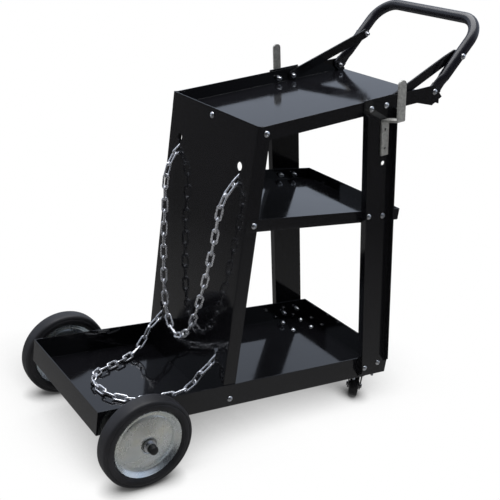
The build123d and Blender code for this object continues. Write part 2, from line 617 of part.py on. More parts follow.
# ---------------------------------------------------------------- casters
CASTER_PLATE = (72.0, 58.0, 2.0)
KINGPIN = 10.0
KINGPIN_HEAD = 18.0
RACE_DIAMETER = 32.0
RACE_HEIGHT = 9.0
CROWN_DIAMETER = 40.0
FORK_SHEET = 2.5
FORK_GAP = CASTER_TREAD + 2.0
CASTER_AXLE = 6.0
plate_top = -GAP
plate_bottom = plate_top - CASTER_PLATE[2]
race_bottom = plate_bottom - GAP - RACE_HEIGHT
crown_top = race_bottom - RUNNING
crown_bottom = crown_top - FORK_SHEET
turn = radians(CASTER_TURN)
lead_dir = (cos(turn), sin(turn), 0)
axle_dir = (-sin(turn), cos(turn), 0)
half_tread = CASTER_TREAD / 2 - 1
for name, side in SIDES.items():
    pivot = (CASTER_X, side * CASTER_Y)
    wheel_centre = (
        pivot[0] - CASTER_TRAIL * lead_dir[0],
        pivot[1] - CASTER_TRAIL * lead_dir[1],
        caster_wheel_z,
    )
    with BuildPart() as caster_plate:
        with BuildSketch(Plane.XY.offset(plate_bottom)):
            with Locations(pivot):
                RectangleRounded(CASTER_PLATE[0], CASTER_PLATE[1], 5)
                Circle(KINGPIN / 2 + RUNNING, mode=Mode.SUBTRACT)
                with GridLocations(*caster_bolt_spread, 2, 2):
                    Circle(BOLT_HOLE / 2, mode=Mode.SUBTRACT)
        extrude(amount=CASTER_PLATE[2])
    save(caster_plate, f"caster_plate_{name}")
    with BuildPart() as caster_race:
        race_bore = KINGPIN / 2 + RUNNING
        turned((*pivot, 0), (0, 0, -1), -plate_bottom + GAP, -race_bottom, RACE_DIAMETER / 2, race_bore)
        fillet(edges().filter_by(GeomType.CIRCLE).group_by(SortBy.RADIUS)[-1], radius=1.5)
    save(caster_race, f"caster_race_{name}")
    with BuildPart() as caster_kingpin:
        turned((*pivot, 0), (0, 0, -1), -plate_top, -crown_bottom + GAP, KINGPIN / 2, 0)
        turned((*pivot, 0), (0, 0, -1), -crown_bottom + RUNNING, -crown_bottom + 3, KINGPIN_HEAD / 2, 0)
    save(caster_kingpin, f"caster_kingpin_{name}")
    with BuildPart() as caster_fork:
        turned((*pivot, 0), (0, 0, -1), -crown_top, -crown_bottom, CROWN_DIAMETER / 2, KINGPIN / 2 + RUNNING)
        for leg in (-1, 1):
            leg_offset = leg * (FORK_GAP + FORK_SHEET) / 2
            leg_origin = (pivot[0] + leg_offset * axle_dir[0], pivot[1] + leg_offset * axle_dir[1], 0)
            with BuildSketch(Plane(origin=leg_origin, x_dir=lead_dir, z_dir=(-axle_dir[0], -axle_dir[1], 0))):
                with Locations((-CASTER_TRAIL, caster_wheel_z)):
                    Circle(9)
                with Locations((-1, crown_top - FORK_SHEET / 2)):
                    Rectangle(27, FORK_SHEET)
                make_hull()
                with Locations((-CASTER_TRAIL, caster_wheel_z)):
                    Circle(CASTER_AXLE / 2 + RUNNING, mode=Mode.SUBTRACT)
            extrude(amount=FORK_SHEET / 2, both=True)
    save(caster_fork, f"caster_fork_{name}")
    with BuildPart() as caster_wheel:
        with BuildSketch(spin_plane(wheel_centre, axle_dir)):
            with BuildLine():
                ThreePointArc(
                    (-half_tread, caster_radius - 1.2),
                    (0, caster_radius),
                    (half_tread, caster_radius - 1.2),
                )
                Polyline(
                    (half_tread, caster_radius - 1.2),
                    (half_tread, 7.5),
                    (half_tread + 1.5, 6.5),
                    (half_tread + 1.5, CASTER_AXLE / 2 + RUNNING),
                    (-half_tread - 1.5, CASTER_AXLE / 2 + RUNNING),
                    (-half_tread - 1.5, 6.5),
                    (-half_tread, 7.5),
                    (-half_tread, caster_radius - 1.2),
                )
            make_face()
        revolve(axis=Axis(origin=wheel_centre, direction=axle_dir))
    save(caster_wheel, f"caster_wheel_{name}")
    fork_outside = FORK_GAP / 2 + FORK_SHEET
    with BuildPart() as caster_axle:
        turned(wheel_centre, axle_dir, -fork_outside - 2.5, fork_outside + 2.5, CASTER_AXLE / 2, 0)
        turned(wheel_centre, axle_dir, -fork_outside - 3, -fork_outside - GAP, 5, 0)
        turned(wheel_centre, axle_dir, fork_outside + GAP, fork_outside + 3, 5, 0)
    save(caster_axle, f"caster_axle_{name}")

# ---------------------------------------------------------------- fasteners
def bolt_shape(length, diameter, head_diameter, head_height):
    """A round-headed machine bolt, its head standing on z = 0 and its shank running down."""
    with BuildPart() as bolt:
        with BuildSketch(Plane.XZ):
            with BuildLine():
                rim = (head_diameter / 2, head_height * 0.3)
                shoulder = (head_diameter * 0.35, head_height * 0.8)
                Polyline((0, -length), (diameter / 2, -length), (diameter / 2, 0), (head_diameter / 2, 0), rim)
                Spline(rim, shoulder, (0, head_height), tangents=[(0, 1), (-1, 0)])
                Line((0, head_height), (0, -length))
            make_face()
        revolve(axis=Axis.Z)
    return bolt.part


def nut_shape():
    """A hexagon nut, its top face on z = 0 and its body running down."""
    with BuildPart() as nut:
        with BuildSketch(Plane.XY.offset(-NUT_HEIGHT)):
            RegularPolygon(NUT_FLATS / 2, 6, major_radius=False)
            Circle(BOLT / 2 + RUNNING, mode=Mode.SUBTRACT)
        extrude(amount=NUT_HEIGHT)
    return nut.part


def group(label, shape, planes):
    """Save a set of identical fasteners, one on each plane, as one node."""
    with BuildPart() as fasteners:
        for plane in planes:
            add(plane.location * shape)
    save(fasteners, label)


def both_sides(points, y):
    """Outward-facing seats at the same places on both sides."""
    return [seat(point, side * y) for side in (-1, 1) for point in points]


m6_bolt = bolt_shape(BOLT_LENGTH, BOLT, HEAD_DIAMETER, HEAD_HEIGHT)
m6_nut = nut_shape()
wall_face = half_width + GAP
leg_face = half_width + LEG_SHEET + 2 * GAP
inside_wall = half_width - SHEET - GAP
panel_bolt_places = [pan_panel_bolt, shelf_panel_bolt, tray_panel_bolt]
group("leg_bolts", m6_bolt, both_sides(leg_bolts_tray + leg_bolts_shelf + leg_bolts_pan, leg_face))
leg_nut_seats = both_sides([leg_bolts_tray[0]] + leg_bolts_shelf + leg_bolts_pan, inside_wall)
leg_nut_seats += both_sides([brace_low], inside_wall - BRACE_THICK - GAP)
group("leg_nuts", m6_nut, leg_nut_seats)

centre_head = Plane(origin=(PANEL_X - GAP, 0, panel_centre_bolt_z), z_dir=(-1, 0, 0))
centre_nut = Plane(origin=(rear_wall_front + GAP, 0, panel_centre_bolt_z), z_dir=(-1, 0, 0))
group("panel_bolts", m6_bolt, both_sides(panel_bolt_places, wall_face) + [centre_head])
group("panel_nuts", m6_nut, both_sides(panel_bolt_places, panel_half - SHEET - GAP) + [centre_nut])

group("handle_bolts", m6_bolt, both_sides([handle_end], wall_face))
brace_bolt = bolt_shape(2 * BOLT_LENGTH + 4, BOLT, HEAD_DIAMETER, HEAD_HEIGHT)
group("brace_bolts", brace_bolt, both_sides([brace_high], handle_half + TUBE / 2 + GAP))
handle_nut_seats = both_sides([handle_end], handle_half - flat_thick / 2 - GAP)
handle_nut_seats += both_sides([brace_high], brace_high_y - BRACE_THICK / 2 - GAP)
group("handle_nuts", m6_nut, handle_nut_seats)

hook_screw = bolt_shape(LEG_SHEET + HOOK_THICK, HOOK_SCREW, 9.0, 2.6)
hook_screw_seats = [
    Plane(origin=(point[0], side * half_width, point[1]), z_dir=(0, -side, 0))
    for side in (-1, 1)
    for point in [leg_point(down, hook_forward) for down in hook_screws_down]
]
group("hook_screws", hook_screw, hook_screw_seats)

caster_bolt_places = [
    (CASTER_X + dx * caster_bolt_spread[0] / 2, side * CASTER_Y + dy * caster_bolt_spread[1] / 2)
    for side in (-1, 1)
    for dx in (-1, 1)
    for dy in (-1, 1)
]
group("caster_bolts", m6_bolt, [Plane(origin=(x, y, SHEET + GAP)) for x, y in caster_bolt_places])
group("caster_nuts", m6_nut, [Plane(origin=(x, y, plate_bottom - GAP)) for x, y in caster_bolt_places])

# ---------------------------------------------------------------- retaining chains
LINK_LENGTH = LINK_PITCH + 2 * LINK_WIRE + 1.0
HANG_X = PANEL_X - 25.0                 # the upper chain hangs clear of the panel
HANG = 34.0                             # length that sets how full the upper chain hangs
FLOOR_Z = SHEET + 6.1                   # link centres of the lower chain, lying on the pan's floor
SLOT_REST = 9.0                         # link centre above the foot of its keyhole slot
LOOP_X = 70.6                           # far end of the loop on the floor, set so that whole links fit

link_eye = (LINK_WIDTH - LINK_WIRE) / 2
link_leg = (LINK_LENGTH - LINK_WIRE) / 2 - link_eye
X_WAY = Vector(1, 0, 0)
Z_WAY = Vector(0, 0, 1)

with BuildPart() as link:
    with BuildLine() as link_run:
        Line((-link_leg, -link_eye), (link_leg, -link_eye))
        ThreePointArc((link_leg, -link_eye), (link_leg + link_eye, 0), (link_leg, link_eye))
        Line((link_leg, link_eye), (-link_leg, link_eye))
        ThreePointArc((-link_leg, link_eye), (-link_leg - link_eye, 0), (-link_leg, -link_eye))
    with BuildSketch(Plane(origin=(0, -link_eye, 0), z_dir=(1, 0, 0))):
        Circle(LINK_WIRE / 2)
    sweep(path=link_run.wires()[0])


def link_plane(start, end, roll, reference):
    """Where a link lies between two pivots, rolled out of the plane that holds the reference direction."""
    along = (end - start).normalized()
    flat = reference - along * along.dot(reference)
    lie = flat.rotate(Axis((0, 0, 0), along), roll)
    return Plane(origin=(start + end) / 2, x_dir=along, z_dir=along.cross(lie))


def pivots_along(path):
    """Pivots one pitch apart, as straight lines, along a path."""
    pivots = [path.position_at(0)]
    at = 0
    while True:
        low, high = at + LINK_PITCH, at + 1.3 * LINK_PITCH
        if low > path.length:
            return pivots
        for _ in range(30):
            middle = (low + high) / 2
            reach = path.position_at(min(middle, path.length), position_mode=PositionMode.LENGTH) - pivots[-1]
            if reach.length < LINK_PITCH:
                low = middle
            else:
                high = middle
        if high > path.length:
            return pivots
        at = high
        pivots.append(path.position_at(at, position_mode=PositionMode.LENGTH))


def slot_rest(hole_z):
    """Middle of the link that sits in a keyhole slot, on the middle of the cart."""
    return Vector(PANEL_X + SHEET / 2, 0, hole_z - KEYHOLE_DROP + SLOT_REST)


slope_in = Vector(1, 0, 1).normalized()


def save_chain(label, hole_z, pivots, reference):
    """Save a hanging chain, and the links that hold it in its two keyholes."""
    slot = slot_rest(hole_z)
    half_link = slope_in * LINK_PITCH / 2
    eye_centre = slot + slope_in * link_leg
    tail_top = eye_centre + Vector(0, 0, LINK_WIRE + GAP - link_eye)
    tail = tail_top - Vector(0, 0, link_leg + link_eye)
    with BuildPart() as anchors:
        for side in (-1, 1):
            aside = Vector(0, side * KEYHOLE_Y, 0)
            add(link_plane(slot + aside - half_link, slot + aside + half_link, 0, X_WAY).location * link.part)
            add(link_plane(tail + aside - Z_WAY, tail + aside + Z_WAY, 90, X_WAY).location * link.part)
    save(anchors, f"{label}_anchors")
    count = len(pivots) - 1
    far_twist = 45 if count % 2 == 0 else -45
    with BuildPart() as chain:
        for k in range(count):
            roll = 90 * (k + 1) - 45 * min(1, k / 3) - far_twist * (1 - min(1, (count - 1 - k) / 3))
            add(link_plane(pivots[k], pivots[k + 1], roll, reference).location * link.part)
    save(chain, label)


HANG_LOW = 91.30                        # lowest pivot, set so that whole links fit
upper_outer = slot_rest(KEYHOLE_Z[1]) - slope_in * LINK_PITCH / 2
half_drop = 335.0                       # free half of the hanging chain
steps = 12
hang = [half_drop * (2 * k / steps - 1) for k in range(steps + 1)]
with BuildLine() as upper_run:
    Spline(
        upper_outer + Vector(0, -KEYHOLE_Y, 0),
        *[Vector(HANG_X, HANG * asinh(s / HANG), HANG_LOW + hypot(HANG, s) - HANG) for s in hang],
        upper_outer + Vector(0, KEYHOLE_Y, 0),
    )
save_chain("upper_chain", KEYHOLE_Z[1], pivots_along(upper_run.wires()[0]), X_WAY)

lower_outer = slot_rest(KEYHOLE_Z[0]) - slope_in * LINK_PITCH / 2
with BuildLine() as lower_run:
    Spline(
        lower_outer + Vector(0, KEYHOLE_Y, 0),
        (239, 106, 65),
        (229, 105, 43),
        (215, 101, 24),
        (198, 94, 12.5),
        (178, 85, FLOOR_Z + 0.5),
        (155, 75, FLOOR_Z),
        (128, 64, FLOOR_Z),
        (92, 49, FLOOR_Z),
        (LOOP_X, 10, FLOOR_Z),
        (78, -38, FLOOR_Z),
        (112, -71, FLOOR_Z),
        (160, -81, FLOOR_Z),
        (183, -83, FLOOR_Z + 0.5),
        (203, -88, 12.5),
        (219, -94, 24),
        (231, -101, 43),
        (240, -106, 65),
        lower_outer + Vector(0, -KEYHOLE_Y, 0),
    )
save_chain("lower_chain", KEYHOLE_Z[0], pivots_along(lower_run.wires()[0]), Z_WAY)
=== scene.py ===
import json
import math

import bmesh
import bpy
from mathutils import Matrix, Vector


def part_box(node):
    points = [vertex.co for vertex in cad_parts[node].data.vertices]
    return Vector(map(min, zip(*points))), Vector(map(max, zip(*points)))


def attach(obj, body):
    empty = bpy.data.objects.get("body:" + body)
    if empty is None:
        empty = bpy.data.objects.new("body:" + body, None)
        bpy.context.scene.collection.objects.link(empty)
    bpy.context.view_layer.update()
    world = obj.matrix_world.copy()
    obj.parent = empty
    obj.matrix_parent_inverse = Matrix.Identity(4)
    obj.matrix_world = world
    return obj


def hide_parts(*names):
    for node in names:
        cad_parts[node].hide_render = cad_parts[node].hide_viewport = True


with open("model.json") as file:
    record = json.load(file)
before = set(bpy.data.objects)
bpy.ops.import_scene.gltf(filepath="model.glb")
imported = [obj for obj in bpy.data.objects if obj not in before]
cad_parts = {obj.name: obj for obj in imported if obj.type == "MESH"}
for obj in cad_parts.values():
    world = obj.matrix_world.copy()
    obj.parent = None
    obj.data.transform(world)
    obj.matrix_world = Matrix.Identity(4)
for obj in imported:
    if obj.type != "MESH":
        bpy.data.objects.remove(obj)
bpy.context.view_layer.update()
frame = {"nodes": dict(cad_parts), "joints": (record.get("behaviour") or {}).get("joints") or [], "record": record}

NODES = frame["nodes"]
SIDES = {"left": 1, "right": -1}
MM = 0.001
WELD = 0.002 * MM              # corners nearer than this are one corner
EDGE_ROUND = 0.7 * MM          # radius of the bent and sheared sheet edges, as the paint shows them
CAD_CREASE = math.radians(26)  # an edge sharper than this stays crisp on the CAD nodes
CREASE = math.radians(32)      # and on the pieces made here


# ---------------------------------------------------------------- shader helpers
class Shader:
    """A node material, with short calls for the few nodes that every finish here is made of."""

    def __init__(self, name, slot):
        self.material = bpy.data.materials.new(name)
        self.material.use_nodes = True
        self.tree = self.material.node_tree
        self.surface = self.tree.nodes["Principled BSDF"]
        self.place = self.add("ShaderNodeTexCoord").outputs["Object"]
        self.slot = slot

    def add(self, kind, **values):
        node = self.tree.nodes.new(kind)
        for key, value in values.items():
            setattr(node, key, value)
        return node

    def link(self, output, node, socket):
        self.tree.links.new(output, node.inputs[socket])

    def set(self, **values):
        """Fixed values on the surface shader, by input name with _ for spaces."""
        for key, value in values.items():
            self.surface.inputs[key.replace("_", " ")].default_value = value

    def stretched(self, x, y, z):
        """The object's coordinates, stretched, for brushed or run marks."""
        mapping = self.add("ShaderNodeMapping")
        mapping.inputs["Scale"].default_value = (x, y, z)
        self.link(self.place, mapping, "Vector")
        return mapping.outputs["Vector"]

    def noise(self, scale, detail=3.0, place=None):
        node = self.add("ShaderNodeTexNoise")
        node.inputs["Scale"].default_value = scale
        node.inputs["Detail"].default_value = detail
        self.link(place or self.place, node, "Vector")
        return node.outputs["Fac"]

    def cells(self, scale, randomness=1.0):
        node = self.add("ShaderNodeTexVoronoi")
        node.inputs["Scale"].default_value = scale
        node.inputs["Randomness"].default_value = randomness
        self.link(self.place, node, "Vector")
        return node.outputs["Color"]

    def spread(self, value, low, high, start=0.3, end=0.7):
        """A value from start to end made into low to high."""
        node = self.add("ShaderNodeMapRange")
        for key, number in {"From Min": start, "From Max": end, "To Min": low, "To Max": high}.items():
            node.inputs[key].default_value = number
        self.link(value, node, "Value")
        return node.outputs["Result"]

    def blend(self, value, first, second):
        """A colour between two, by a value from 0 to 1."""
        node = self.add("ShaderNodeMix", data_type="RGBA")
        for socket, colour in ((6, first), (7, second)):
            if isinstance(colour, tuple):
                node.inputs[socket].default_value = (*colour, 1)
            else:
                self.tree.links.new(colour, node.inputs[socket])
        self.tree.links.new(value, node.inputs[0])
        return node.outputs[2]

    def bump(self, height, depth, strength=1.0, rounded=0.0):
        """Relief of a depth in metres, over edges rounded by a radius in metres."""
        node = self.add("ShaderNodeBump")
        node.inputs["Distance"].default_value = depth
        node.inputs["Strength"].default_value = strength
        self.link(height, node, "Height")
        if rounded:
            bevel = self.add("ShaderNodeBevel", samples=4)
            bevel.inputs["Radius"].default_value = rounded
            self.link(bevel.outputs["Normal"], node, "Normal")
        self.link(node.outputs["Normal"], self.surface, "Normal")

    def colour(self, output):
        self.link(output, self.surface, "Base Color")

    def roughness(self, output):
        self.link(output, self.surface, "Roughness")


def gloss_black():
    """Gloss black powder coat: a faint orange peel, and a little dust that dulls it in patches."""
    s = Shader("gloss_black", "black_paint")
    s.set(IOR=1.5)
    s.colour(s.blend(s.noise(6.0), (0.0035, 0.0035, 0.0045), (0.006, 0.006, 0.0075)))
    s.roughness(s.spread(s.noise(22.0, 4.0), 0.06, 0.13))
    s.bump(s.noise(420.0, 2.0), 0.00002, 0.5, rounded=EDGE_ROUND)
    return s


def tube_black():
    """The handle tube's paint, softer in its shine than the sheet."""
    s = Shader("tube_black", "black_paint")
    s.set(IOR=1.5)
    s.colour(s.blend(s.noise(9.0), (0.006, 0.006, 0.009), (0.012, 0.012, 0.018)))
    s.roughness(s.spread(s.noise(40.0, 4.0), 0.2, 0.32))
    s.bump(s.noise(500.0, 2.0), 0.00002, 0.5)
    return s


def bright_zinc(name, slot, dark, light, rough, metallic):
    """Zinc plate: bright metal whose colour and shine drift slightly."""
    s = Shader(name, slot)
    s.set(Metallic=metallic)
    s.colour(s.blend(s.spread(s.noise(35.0, 4.0), 0.0, 1.0), dark, light))
    s.roughness(s.spread(s.noise(90.0, 3.0), rough, rough + 0.12))
    s.bump(s.noise(240.0, 3.0), 0.00003, 0.5)
    return s


def rim_zinc():
    """Zinc-plated pressing with the blue and straw drift of its passivation."""
    s = Shader("rim_zinc", "rim_zinc")
    s.set(Metallic=0.88)
    tone = s.spread(s.noise(14.0, 2.0), 0.0, 1.0, 0.35, 0.65)
    drift = s.blend(tone, (0.6, 0.68, 0.73), (0.82, 0.82, 0.72))
    s.colour(s.blend(s.spread(s.noise(70.0, 4.0), 0.0, 0.5), drift, (0.85, 0.87, 0.92)))
    s.roughness(s.spread(s.noise(60.0, 3.0), 0.2, 0.32))
    s.bump(s.noise(300.0, 2.0), 0.00001, 0.3)
    return s


def galvanised():
    """Dull galvanised strip with a faint spangle."""
    s = Shader("galvanised", "hook_zinc")
    s.set(Metallic=0.5)
    spangle = s.add("ShaderNodeRGBToBW")
    s.link(s.cells(260.0), spangle, "Color")
    grain = s.spread(spangle.outputs["Val"], 0.0, 1.0, 0.2, 0.8)
    s.colour(s.blend(grain, (0.33, 0.33, 0.32), (0.46, 0.46, 0.44)))
    s.roughness(s.spread(s.noise(120.0, 4.0), 0.42, 0.6))
    s.bump(s.noise(500.0, 3.0), 0.00005, 0.5)
    return s


def turned_steel():
    """Bare turned steel with fine marks around it."""
    s = Shader("turned_steel", "steel")
    s.set(Metallic=1.0)
    s.colour(s.blend(s.noise(50.0), (0.3, 0.3, 0.31), (0.42, 0.42, 0.43)))
    s.roughness(s.spread(s.noise(30.0, 3.0, s.stretched(1, 40, 1)), 0.25, 0.45))
    s.bump(s.noise(60.0, 2.0, s.stretched(1, 40, 1)), 0.00003, 0.5)
    return s


def rubber(name, slot, dark, light, rough):
    """Smooth moulded rubber, dusty in patches."""
    s = Shader(name, slot)
    s.set(Specular_IOR_Level=0.27)
    s.colour(s.blend(s.spread(s.noise(18.0, 4.0), 0.0, 1.0), dark, light))
    s.roughness(s.spread(s.noise(45.0, 4.0), rough, rough + 0.15))
    s.bump(s.noise(900.0, 3.0), 0.00008, 0.5)
    return s


def cap_plastic():
    """Moulded black cap with a fine grain."""
    s = Shader("cap_plastic", "cap_plastic")
    s.colour(s.blend(s.noise(60.0), (0.004, 0.004, 0.005), (0.009, 0.009, 0.01)))
    s.roughness(s.spread(s.noise(150.0, 3.0), 0.35, 0.5))
    s.bump(s.noise(1400.0, 2.0), 0.00005, 0.5)
    return s


SHEET_PAINT = gloss_black()
TUBE_PAINT = tube_black()
BOLT_ZINC = bright_zinc("bolt_zinc", "zinc_plate", (0.55, 0.56, 0.58), (0.75, 0.76, 0.78), 0.24, 1.0)
CHAIN_ZINC = bright_zinc("chain_zinc", "chain_zinc", (0.72, 0.73, 0.77), (0.92, 0.93, 0.97), 0.2, 0.8)
RIM_ZINC = rim_zinc()
HOOK_ZINC = galvanised()
STEEL = turned_steel()
TYRE = rubber("tyre_rubber", "tyre_rubber", (0.012, 0.012, 0.014), (0.022, 0.022, 0.026), 0.4)
ROLLER = rubber("caster_rubber", "caster_rubber", (0.01, 0.01, 0.011), (0.018, 0.018, 0.019), 0.35)
CAP = cap_plastic()

FINISH_BY_SLOT = {
    "black_paint": SHEET_PAINT,
    "zinc_plate": BOLT_ZINC,
    "chain_zinc": CHAIN_ZINC,
    "rim_zinc": RIM_ZINC,
    "hook_zinc": HOOK_ZINC,
    "steel": STEEL,
    "tyre_rubber": TYRE,
    "caster_rubber": ROLLER,
    "cap_plastic": CAP,
}


def paint(thing, finish):
    thing.data.materials.clear()
    thing.data.materials.append(finish.material)


for entry in frame["record"]["subparts"]:
    paint(NODES[entry["node"]], FINISH_BY_SLOT[entry["material_slot"]])
paint(NODES["handle_tube"], TUBE_PAINT)


# ---------------------------------------------------------------- smooth shading of the CAD nodes
def smooth_by_angle():
    """A node modifier that shades faces smooth and keeps every edge sharper than an angle crisp."""
    group = bpy.data.node_groups.new("smooth_by_angle", "GeometryNodeTree")
    group.interface.new_socket("Geometry", in_out="INPUT", socket_type="NodeSocketGeometry")
    group.interface.new_socket("Geometry", in_out="OUTPUT", socket_type="NodeSocketGeometry")
    nodes, links = group.nodes, group.links
    start = nodes.new("NodeGroupInput")
    merge = nodes.new("GeometryNodeMergeByDistance")
    merge.inputs["Distance"].default_value = WELD
    faces = nodes.new("GeometryNodeSetShadeSmooth")
    faces.domain = "FACE"
    edges = nodes.new("GeometryNodeSetShadeSmooth")
    edges.domain = "EDGE"
    edges.inputs["Shade Smooth"].default_value = False
    angle = nodes.new("GeometryNodeInputMeshEdgeAngle")
    sharp = nodes.new("ShaderNodeMath")
    sharp.operation = "GREATER_THAN"
    sharp.inputs[1].default_value = CAD_CREASE
    end = nodes.new("NodeGroupOutput")
    links.new(start.outputs[0], merge.inputs["Geometry"])
    links.new(merge.outputs["Geometry"], faces.inputs["Geometry"])
    links.new(faces.outputs["Geometry"], edges.inputs["Geometry"])
    links.new(angle.outputs["Unsigned Angle"], sharp.inputs[0])
    links.new(sharp.outputs[0], edges.inputs["Selection"])
    links.new(edges.outputs["Geometry"], end.inputs[0])
    return group


SMOOTHING = smooth_by_angle()
for node in NODES.values():
    node.modifiers.new("smooth", "NODES").node_group = SMOOTHING


# ---------------------------------------------------------------- mesh pieces
def finished_piece(name, mesh, finish, body, *stands_for):
    """Put a piece in the scene, on its body, in place of its CAD nodes."""
    thing = bpy.data.objects.new(name, mesh)
    bpy.context.scene.collection.objects.link(thing)
    mesh.materials.append(finish.material)
    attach(thing, body)
    if stands_for:
        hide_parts(*stands_for)
    return thing


def close_mesh(name, bm):
    """Turn a bmesh into a mesh with smooth faces and crisp edges."""
    bmesh.ops.recalc_face_normals(bm, faces=bm.faces)
    for face in bm.faces:
        face.smooth = True
    for edge in bm.edges:
        edge.smooth = len(edge.link_faces) == 2 and edge.calc_face_angle(0) < CREASE
    mesh = bpy.data.meshes.new(name)
    bm.to_mesh(mesh)
    bm.free()
    return mesh


def lathe(bm, profile, centre, axle, segments=96):
    """Turn a closed profile of (along, radius), in mm, about an axle.  A radius of 0 closes on the axle."""
    axle = axle.normalized()
    across = axle.orthogonal().normalized()
    third = axle.cross(across)
    rings = []
    for along, radius in profile:
        middle = centre + axle * along * MM
        if radius == 0:
            rings.append([bm.verts.new(middle)] * segments)
            continue
        turns = [2 * math.pi * k / segments for k in range(segments)]
        spokes = [across * math.cos(turn) + third * math.sin(turn) for turn in turns]
        rings.append([bm.verts.new(middle + spoke * radius * MM) for spoke in spokes])
    for ring, after in zip(rings, rings[1:] + rings[:1]):
        for k in range(segments):
            corners = [ring[k], ring[(k + 1) % segments], after[(k + 1) % segments], after[k]]
            unique = list(dict.fromkeys(corners))
            if len(unique) > 2:
                bm.faces.new(unique)


def middle_of(node):
    low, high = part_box(node)
    return (Vector(low) + Vector(high)) / 2


def mirrored(half):
    """A profile's outer half, continued with its mirror image."""
    return half + [(-along, radius) for along, radius in reversed(half) if along > 0]


# Half profiles below are (along the axle from the wheel's middle, radius), in mm.
TYRE_SIDE = [
    (12.0, 88.35), (14.2, 87.3), (15.6, 85.6), (16.5, 83.2), (16.7, 82.4),    # shoulder
    (16.2, 81.9), (16.3, 81.2), (17.3, 80.2), (17.8, 78.4), (18.0, 76.2),     # groove and outer ring
    (17.6, 73.6), (17.0, 72.3), (16.2, 71.9), (15.9, 71.2), (15.2, 69.8),     # inner ring
    (13.6, 68.6), (12.9, 68.2), (10.5, 67.35), (4.3, 60.7),                   # bead, and down behind the rim
]


def tyre_profile():
    """Solid rubber tyre: a smooth crowned tread, a rounded shoulder and two rings on its wall."""
    shoulder, shoulder_radius = TYRE_SIDE[0]
    crown_radius = shoulder_radius + 0.65
    drop = crown_radius - shoulder_radius
    crown = [(along, crown_radius - drop * (along / shoulder) ** 2) for along in (0.0, 3.0, 6.0, 9.0)]
    return mirrored(crown + TYRE_SIDE)


def sheet_profile(path, thick):
    """A closed profile for sheet of a thickness along a path of (along, radius)."""
    path = [Vector(point) for point in path]
    upper, lower = [], []
    for k, point in enumerate(path):
        before = path[max(k - 1, 0)]
        after = path[min(k + 1, len(path) - 1)]
        way = (after - before).normalized()
        side = Vector((-way.y, way.x)) * thick / 2
        upper.append(tuple(point + side))
        lower.append(tuple(point - side))
    return upper + lower[::-1]


RIM_SHEET = 1.6
RIM_PATH = [
    (12.8, 67.2), (12.0, 66.4), (11.0, 65.3), (9.4, 63.6), (7.4, 61.6), (5.9, 59.9),    # seat for the bead
    (4.9, 58.2), (4.5, 56.6), (4.8, 55.1), (5.6, 53.8), (6.4, 52.2),                    # channel
    (7.5, 47.6), (9.5, 39.8), (11.6, 31.6), (13.5, 24.2), (14.6, 19.6),                 # dish
    (14.6, 17.4), (13.7, 15.7), (12.2, 14.4), (11.3, 13.3), (10.8, 12.2),               # turned in at the hub
]


HUB_HALF = [(14.4, 11), (15.4, 10.6), (16, 9.4), (16, 6.4)]
ROLLER_HALF = [
    (0.0, 25.0), (4.0, 24.85), (7.2, 24.3), (9.0, 23.3), (9.8, 21.8), (10.0, 20.2),     # tread and shoulder
    (9.2, 19.2), (8.2, 18.6), (7.6, 17.4), (7.6, 10.4),                                 # web
    (8.4, 9.2), (10.4, 8.8), (11.5, 8.2), (11.5, 3.1),                                  # boss and bore
]


def joint_axis(joint_name):
    return Vector(next(joint for joint in frame["joints"] if joint["name"] == joint_name)["axis"])


def turned_piece(name, profile, centre, axle, segments, finish, body, node):
    """A piece turned from a profile, in place of one CAD node."""
    bm = bmesh.new()
    lathe(bm, profile, centre, axle, segments)
    finished_piece(name, close_mesh(name, bm), finish, body, node)


def wheel(side_name, side):
    """A rear wheel: tyre, two pressed rims and a hub, all turned about the axle."""
    body = f"rear_wheel_{side_name}"
    out = Vector((0, side, 0))
    tyre = f"wheel_tyre_{side_name}"
    centre = middle_of(tyre)
    turned_piece(f"tyre_{side_name}", tyre_profile(), centre, out, 128, TYRE, body, tyre)
    for face_name, face in {"outer": 1, "inner": -1}.items():
        pressing = [(face * along, radius) for along, radius in sheet_profile(RIM_PATH, RIM_SHEET)]
        rim = f"rim_{face_name}_{side_name}"
        turned_piece(rim, pressing, centre, out, 96, RIM_ZINC, body, f"wheel_{rim}")
    hub = f"hub_{side_name}"
    turned_piece(hub, mirrored(HUB_HALF), centre, out, 64, STEEL, body, f"wheel_{hub}")


def cap(side_name, side):
    """The push-on cap over the axle's end, domed, with a ring round its foot."""
    node = f"axle_cap_{side_name}"
    low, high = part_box(node)
    end = (high[1] - low[1]) / 2 / MM
    floor = end - 3.5
    bore = 6.45
    ring = [(-end, bore), (-end, 8.7), (0.25 - end, 9.0), (1.4 - end, 9.0), (1.7 - end, 8.7)]
    dome = [(1.7 - end, 8.4), (end - 3.4, 8.2), (end - 1.6, 7.5), (end - 0.5, 5.6), (end, 2.8), (end, 0)]
    profile = ring + dome + [(floor, 0), (floor, bore)]
    turned_piece(f"cap_{side_name}", profile, middle_of(node), Vector((0, side, 0)), 48, CAP, "cart", node)


def caster_roller(side_name):
    """A caster wheel with a stepped side and a crowned tread."""
    node = f"caster_wheel_{side_name}"
    axle = joint_axis(f"caster_{side_name}_spin")
    body = f"caster_wheel_body_{side_name}"
    name = f"caster_roller_{side_name}"
    turned_piece(name, mirrored(ROLLER_HALF), middle_of(node), axle, 72, ROLLER, body, node)


for side_name, side in SIDES.items():
    wheel(side_name, side)
    cap(side_name, side)
for side_name in SIDES:
    caster_roller(side_name)


